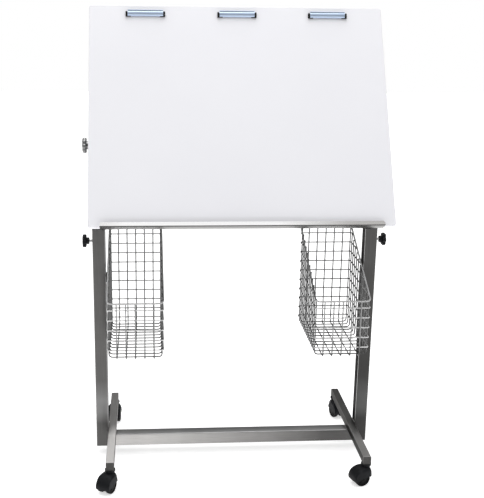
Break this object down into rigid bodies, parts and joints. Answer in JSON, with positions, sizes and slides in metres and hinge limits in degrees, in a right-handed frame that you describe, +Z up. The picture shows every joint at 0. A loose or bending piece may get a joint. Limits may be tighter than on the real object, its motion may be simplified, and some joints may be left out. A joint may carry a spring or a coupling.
{
  "type": "medical chart rack",
  "caption": "Mobile chart rack: tilting white board with sprung paper clips and a ledge, on a height-adjustable stainless tube stand with wire baskets and twin-wheel castors.",
  "frame": {"origin": "middle of the bounding box on the floor", "axes": "+Z up, +X to the right of a reader who faces the board, -Y towards that reader"},
  "size_m": [0.962, 0.5741, 1.4354],
  "materials": {
    "tube_steel": "satin stainless",
    "chrome": "bright plated",
    "wire": "bright stainless wire",
    "board_laminate": "white laminate on a wood core",
    "black_plastic": "moulded black",
    "grey_plastic": "moulded dark grey",
    "clip_rubber": "soft black",
    "wheel": "hard black nylon"
  },
  "bodies": {
    "base": {"crossbar": "tube_steel", "upright_left": "tube_steel", "foot_left": "tube_steel", "foot_cap_front_left": "grey_plastic", "foot_cap_rear_left": "grey_plastic", "collar_bush_left": "black_plastic", "basket_left_outer_side": "wire", "basket_left_inner_side": "wire", "basket_left_back": "wire", "basket_left_front": "wire", "basket_left_floor": "wire", "basket_clamp_left": "black_plastic", "upright_right": "tube_steel", "foot_right": "tube_steel", "foot_cap_front_right": "grey_plastic", "foot_cap_rear_right": "grey_plastic", "collar_bush_right": "black_plastic", "basket_right_outer_side": "wire", "basket_right_inner_side": "wire", "basket_right_back": "wire", "basket_right_front": "wire", "basket_right_floor": "wire", "basket_clamp_right": "black_plastic"},
    "mast": {"tie_rail": "tube_steel", "inner_tube_left": "tube_steel", "glide_left": "grey_plastic", "pivot_bolt_left": "tube_steel", "inner_tube_right": "tube_steel", "glide_right": "grey_plastic", "pivot_bolt_right": "tube_steel"},
    "board": {"board_bracket_left": "tube_steel", "board_bracket_right": "tube_steel", "board_panel": "board_laminate", "ledge": "tube_steel", "clip_1_base": "chrome", "clip_2_base": "chrome", "clip_3_base": "chrome"},
    "height_knob_left": {"height_knob_left": "black_plastic"},
    "tilt_knob_left": {"tilt_knob_left": "chrome"},
    "height_knob_right": {"height_knob_right": "black_plastic"},
    "tilt_knob_right": {"tilt_knob_right": "chrome"},
    "clip_lever_1": {"clip_1_lever": "chrome", "clip_1_pad": "clip_rubber"},
    "clip_lever_2": {"clip_2_lever": "chrome", "clip_2_pad": "clip_rubber"},
    "clip_lever_3": {"clip_3_lever": "chrome", "clip_3_pad": "clip_rubber"},
    "castor_front_left": {"castor_front_left_housing": "black_plastic"},
    "castor_front_left_wheel_left": {"castor_front_left_wheel_left": "wheel"},
    "castor_front_left_wheel_right": {"castor_front_left_wheel_right": "wheel"},
    "castor_front_right": {"castor_front_right_housing": "black_plastic"},
    "castor_front_right_wheel_left": {"castor_front_right_wheel_left": "wheel"},
    "castor_front_right_wheel_right": {"castor_front_right_wheel_right": "wheel"},
    "castor_rear_left": {"castor_rear_left_housing": "black_plastic"},
    "castor_rear_left_wheel_left": {"castor_rear_left_wheel_left": "wheel"},
    "castor_rear_left_wheel_right": {"castor_rear_left_wheel_right": "wheel"},
    "castor_rear_right": {"castor_rear_right_housing": "black_plastic"},
    "castor_rear_right_wheel_left": {"castor_rear_right_wheel_left": "wheel"},
    "castor_rear_right_wheel_right": {"castor_rear_right_wheel_right": "wheel"}
  },
  "joints": [
    {"name": "height_slide", "type": "slide", "parent": "base", "child": "mast", "axis": [0, 0, 1], "range_m": [0, 0.25]},
    {"name": "board_tilt", "type": "hinge", "parent": "mast", "child": "board", "pos_m": [0, 0.016, 1.024], "axis": [1, 0, 0], "range_deg": [-61, 29]},
    {"name": "clip_1_hinge", "type": "hinge", "parent": "board", "child": "clip_lever_1", "pos_m": [-0.28, 0.10953, 1.41921], "axis": [-1, 0, 0], "range_deg": [0, 25], "stiffness_Nm_per_rad": 0.3, "springref_deg": -34.38},
    {"name": "clip_2_hinge", "type": "hinge", "parent": "board", "child": "clip_lever_2", "pos_m": [0, 0.10953, 1.41921], "axis": [-1, 0, 0], "range_deg": [0, 25], "stiffness_Nm_per_rad": 0.3, "springref_deg": -34.38},
    {"name": "clip_3_hinge", "type": "hinge", "parent": "board", "child": "clip_lever_3", "pos_m": [0.28, 0.10953, 1.41921], "axis": [-1, 0, 0], "range_deg": [0, 25], "stiffness_Nm_per_rad": 0.3, "springref_deg": -34.38},
    {"name": "height_knob_left_turn", "type": "hinge", "parent": "base", "child": "height_knob_left", "pos_m": [-0.477, 0.016, 0.724], "axis": [1, 0, 0], "continuous": true},
    {"name": "tilt_knob_left_turn", "type": "hinge", "parent": "mast", "child": "tilt_knob_left", "pos_m": [-0.467, 0.016, 1.024], "axis": [1, 0, 0], "continuous": true},
    {"name": "height_knob_right_turn", "type": "hinge", "parent": "base", "child": "height_knob_right", "pos_m": [0.477, 0.016, 0.724], "axis": [1, 0, 0], "continuous": true},
    {"name": "tilt_knob_right_turn", "type": "hinge", "parent": "mast", "child": "tilt_knob_right", "pos_m": [0.467, 0.016, 1.024], "axis": [1, 0, 0], "continuous": true},
    {"name": "castor_front_left_swivel", "type": "hinge", "parent": "base", "child": "castor_front_left", "pos_m": [-0.3975, -0.2335, 0.068], "axis": [0, 0, 1], "continuous": true},
    {"name": "castor_front_left_wheel_left_roll", "type": "hinge", "parent": "castor_front_left", "child": "castor_front_left_wheel_left", "pos_m": [-0.40736, -0.25204, 0.025], "axis": [0.8829, -0.4695, 0], "continuous": true},
    {"name": "castor_front_left_wheel_right_roll", "type": "hinge", "parent": "castor_front_left", "child": "castor_front_left_wheel_right", "pos_m": [-0.40736, -0.25204, 0.025], "axis": [0.8829, -0.4695, 0], "continuous": true},
    {"name": "castor_front_right_swivel", "type": "hinge", "parent": "base", "child": "castor_front_right", "pos_m": [0.3975, -0.2335, 0.068], "axis": [0, 0, 1], "continuous": true},
    {"name": "castor_front_right_wheel_left_roll", "type": "hinge", "parent": "castor_front_right", "child": "castor_front_right_wheel_left", "pos_m": [0.37777, -0.24068, 0.025], "axis": [0.342, -0.9397, 0], "continuous": true},
    {"name": "castor_front_right_wheel_right_roll", "type": "hinge", "parent": "castor_front_right", "child": "castor_front_right_wheel_right", "pos_m": [0.37777, -0.24068, 0.025], "axis": [0.342, -0.9397, 0], "continuous": true},
    {"name": "castor_rear_left_swivel", "type": "hinge", "parent": "base", "child": "castor_rear_left", "pos_m": [-0.3975, 0.2655, 0.068], "axis": [0, 0, 1], "continuous": true},
    {"name": "castor_rear_left_wheel_left_roll", "type": "hinge", "parent": "castor_rear_left", "child": "castor_rear_left_wheel_left", "pos_m": [-0.3997, 0.24461, 0.025], "axis": [0.9945, -0.1045, 0], "continuous": true},
    {"name": "castor_rear_left_wheel_right_roll", "type": "hinge", "parent": "castor_rear_left", "child": "castor_rear_left_wheel_right", "pos_m": [-0.3997, 0.24461, 0.025], "axis": [0.9945, -0.1045, 0], "continuous": true},
    {"name": "castor_rear_right_swivel", "type": "hinge", "parent": "base", "child": "castor_rear_right", "pos_m": [0.3975, 0.2655, 0.068], "axis": [0, 0, 1], "continuous": true},
    {"name": "castor_rear_right_wheel_left_roll", "type": "hinge", "parent": "castor_rear_right", "child": "castor_rear_right_wheel_left", "pos_m": [0.40364, 0.24542, 0.025], "axis": [0.9563, 0.2924, 0], "continuous": true},
    {"name": "castor_rear_right_wheel_right_roll", "type": "hinge", "parent": "castor_rear_right", "child": "castor_rear_right_wheel_right", "pos_m": [0.40364, 0.24542, 0.025], "axis": [0.9563, 0.2924, 0], "continuous": true}
  ]
}
